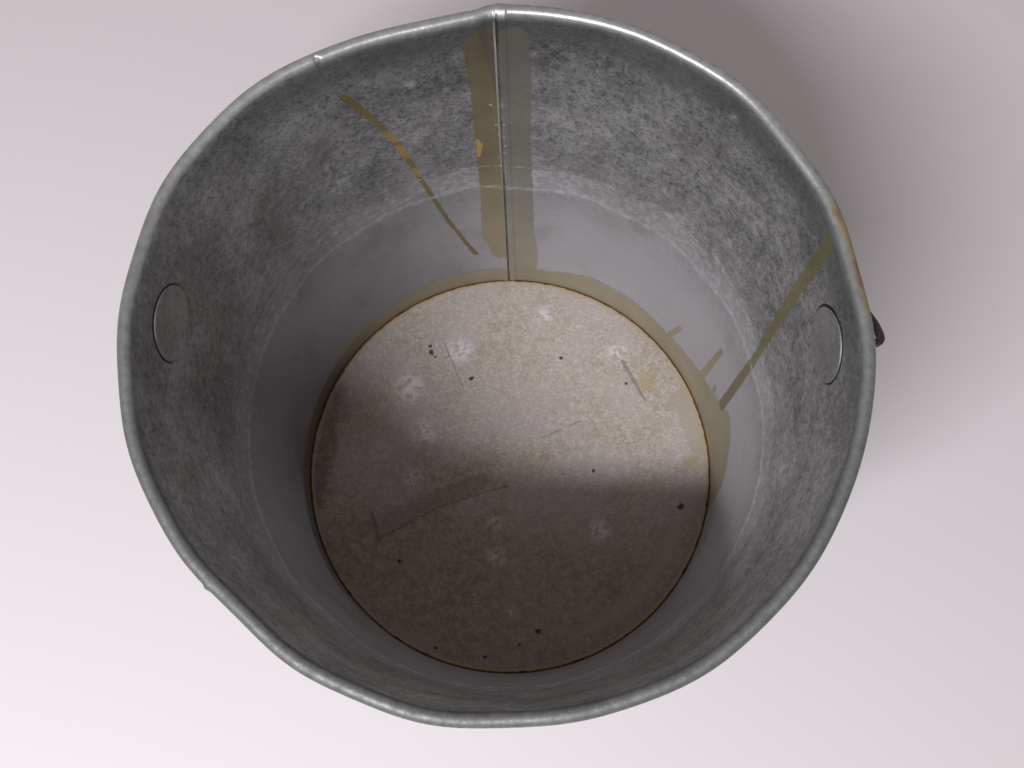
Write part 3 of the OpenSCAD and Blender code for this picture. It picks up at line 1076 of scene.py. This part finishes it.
# %% The bottom's dirt
def dried_dirt(position, point, cloud, patch):
    """The bottom's tones: darker and browner in the near half, with fine light and dark grain."""
    fleck = add("noise", position, per(1.6), 1, 0.55)
    base = add("mix", add("share", cloud, 0.38, 0.6), "#9B9080", "#A49A9A")
    base = add("mix", add("share", patch, 0.35, 0.65), base, "#A9A09B")
    # darker and browner towards the near side
    near = add("share", cloud * 60 + add("ShaderNodeSeparateXYZ", point, out="Y"), 45, -30, 0, 0.6)
    brown = add("mix", add("share", patch, 0.36, 0.62), "#72624D", "#8C7B66")
    base = add("mix", near, base, brown)
    light = add("share", fleck, 0.52, 0.68) * add("share", patch, 0.3, 0.6, 0.1, 0.5) * (near * -0.9 + 1)
    base = add("mix", light, base, "#C4BBB5")
    dark = add("share", fleck, 0.42, 0.3) * add("share", cloud, 0.62, 0.42, 0.14, 0.3)
    return add("mix", dark, base, "#665B4F")


def bottom_marks(point, patch, ragged, base):
    """Each mark is a distance to its edge, broken up by the ragged pattern, and a colour."""
    blooms = add("share", ragged * 8 + spots(point, PALE_BLOOMS, flat), 2, -7)
    marks = [
        (add("share", ragged * 5 + strokes(point, BLACK_STAIN, flat), 6, -4, 0, 0.5), "#4A382D"),
        (add("share", ragged + strokes(point, STRIP, flat), 0.5, -0.5, 0, 0.33), "#6A6D63"),
        (add("share", ragged * 3 + spots(point, OCHRE, flat), 3, -4, 0, 0.6), "#9C8E69"),
        (blooms * add("share", patch, 0.44, 0.58, 0.08, 0.85), "#CFCACE"),
        (add("share", ragged + strokes(point, SCRATCHES, flat), 0.6, -0.4, 0, 0.6), "#66605F"),
        (add("share", ragged * 2 + strokes(point, VARNISH_PATCH, flat), 1.0, -1.0, 0, 0.75), "#9C9285"),
        (add("share", ragged * 5 + strokes(point, CRESCENT, flat), 2, -3, 0, 0.5), "#A39B94"),
        (add("share", ragged * 1.5 + spots(point, PITS, flat), 0.3, -0.3, 0, 0.92), "#2A211A"),
    ]
    for share, stain in marks:
        base = add("mix", share, base, stain)
    return base


# %% Bottom
def dirty_bottom():
    """Dried dirt over zinc, with pale blooms, dark pits, smooth varnish and a brown crevice."""
    material, tree, shader = new_material("dirt-crusted galvanizing")
    position, _, _, radius = object_axes(tree)
    point = add("ShaderNodeVectorMath", position, (1 / MM, 1 / MM, 0), operation="MULTIPLY")
    cloud = add("noise", position, per(34), 4, 0.6)
    patch = add("noise", position, per(5), 4, 0.7, 0.3)
    ragged = patch * 3.0 - 1.5
    base = bottom_marks(point, patch, ragged, dried_dirt(position, point, cloud, patch))
    edge = BASE_R - radius
    tan = add("share", ragged * 0.8 + edge, 3.1, 2.3) * add("share", cloud, 0.35, 0.5, 0.45, 0.9)
    base = add("mix", tan, base, "#AB9679")
    crevice = add("mix", add("share", patch, 0.34, 0.46), "#2A1B12", "#6A4829")
    base = add("mix", add("share", ragged * 0.6 + edge, 1.5, 1.0), base, crevice)
    relief = small_relief(position, 0.3, 2.2)
    feed(shader, {"Base Color": base, "Metallic": 0.1, "Roughness": 0.72, "Normal": relief})
    return material


set_material(bottom, dirty_bottom())


# %% Bail
def rusty_wire():
    """Dark scaly rust with a warmer bloom in its hollows."""
    material, tree, shader = new_material("rusted drawn wire")
    position = object_axes(tree)[0]
    scale = add("noise", position, per(2.2), 3, 0.7)
    bloom = add("noise", position, per(9), 3, 0.6)
    tone = add("mix", add("share", scale, 0.35, 0.65), "#2C2524", "#57463F")
    feed(shader, {
        "Base Color": add("mix", add("share", bloom, 0.5, 0.7, 0, 0.6), tone, "#7A4E34"),
        "Metallic": 0.25,
        "Roughness": add("share", scale, 0.3, 0.7, 0.85, 0.6),
        "Normal": small_relief(position, 0.25, 1.4),
    })
    return material


bail = path_object("bail_worn", bail_path())
bail_sizes = {"Wire radius": BAIL_WIRE_R * MM, "Pit depth": PIT_DEPTH * MM, "Pit size": PIT_SIZE * MM}
run_tree(bail, wire_tree(rusty_wire()), bail_sizes)
print("bail_worn:", len(bail.data.polygons), "faces,", count_open_edges(bail.data), "open edges")
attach(bail, "bail")
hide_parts("bail")

# %% [markdown]
# ## Floor and light
#
# The bucket stands on a plain pale floor. One strip light hangs level, high up in front and to
# the left, so the near rim throws its shadow across the bottom and the left of the inside
# stays dark. The world fills in the rest.

# %% Floor
FLOOR_SIZE = 6
floor_mesh = bpy.data.meshes.new("floor")
half = FLOOR_SIZE / 2
corners = [(-half, -half, 0), (half, -half, 0), (half, half, 0), (-half, half, 0)]
floor_mesh.from_pydata(corners, [], [(0, 1, 2, 3)])
floor = into_scene("floor", floor_mesh)
floor_material, _, floor_shader = new_material("pale matt card")
feed(floor_shader, {"Base Color": "#D5CED4", "Roughness": 0.9})
set_material(floor, floor_material)

# %% Light
KEY_AT = Vector((-352, -681, 1276)) * MM
KEY_SIZE = (0.61, 0.08)
KEY_POWER = 24
FILL = 0.35

key = into_scene("key", bpy.data.lights.new("key", "AREA"))
key.data.shape = "RECTANGLE"
key.data.size, key.data.size_y = KEY_SIZE
key.data.energy = KEY_POWER
key.location = KEY_AT
print("strip light", KEY_SIZE, "m, at", [round(c, 2) for c in KEY_AT])

world = bpy.data.worlds.new("studio")
world.use_nodes = True
feed(world.node_tree.nodes["Background"], {"Color": "#F6F0EB", "Strength": FILL})
bpy.context.scene.world = world
bpy.context.scene.view_settings.view_transform = "Standard"
